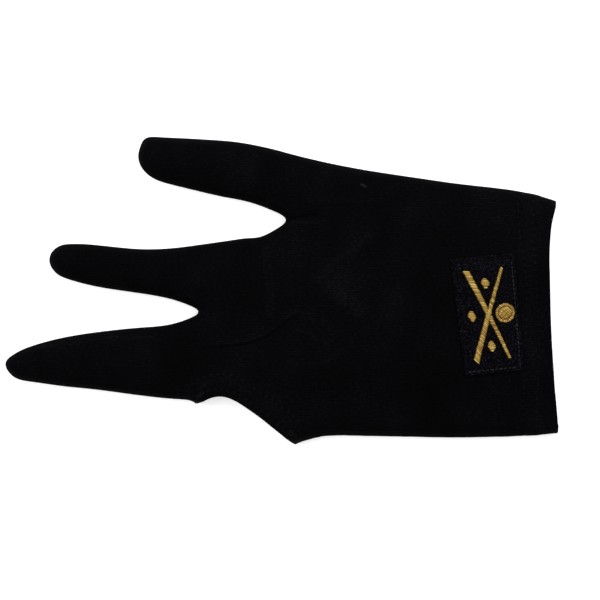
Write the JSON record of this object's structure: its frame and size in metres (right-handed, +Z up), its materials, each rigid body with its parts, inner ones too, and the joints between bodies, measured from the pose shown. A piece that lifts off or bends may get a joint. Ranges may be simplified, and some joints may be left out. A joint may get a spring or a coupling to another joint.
{
  "type": "billiard glove",
  "caption": "Stretch-cloth billiard glove for the left hand with three closed finger stalls, an open side for the other two fingers and a woven label, lying flat.",
  "frame": {"origin": "middle of the glove's outline, on the surface that the glove lies on", "axes": "-X towards the finger tips, +X towards the wrist, +Y towards the thumb, +Z up out of the back of the hand"},
  "size_m": [0.2212, 0.1224, 0.0129],
  "materials": {
    "knit": "near-black fine-ribbed stretch knit, matt with a faint sheen",
    "hem_knit": "the same knit turned in and double-stitched",
    "label_weave": "black satin-woven label with a speckled surface",
    "gold_thread": "gold satin-stitch embroidery thread"
  },
  "bodies": {
    "root": {"back_hand": "knit", "back_fingers": "knit", "back_thumb": "knit", "palm_hand": "knit", "palm_fingers": "knit", "palm_thumb": "knit", "cuff_hem": "hem_knit", "opening_hem_back": "hem_knit", "opening_hem_palm": "hem_knit", "label_patch": "label_weave", "emblem_cues": "gold_thread", "emblem_ball": "gold_thread", "emblem_lozenge_1": "gold_thread", "emblem_lozenge_2": "gold_thread", "emblem_lozenge_3": "gold_thread"}
  },
  "joints": []
}
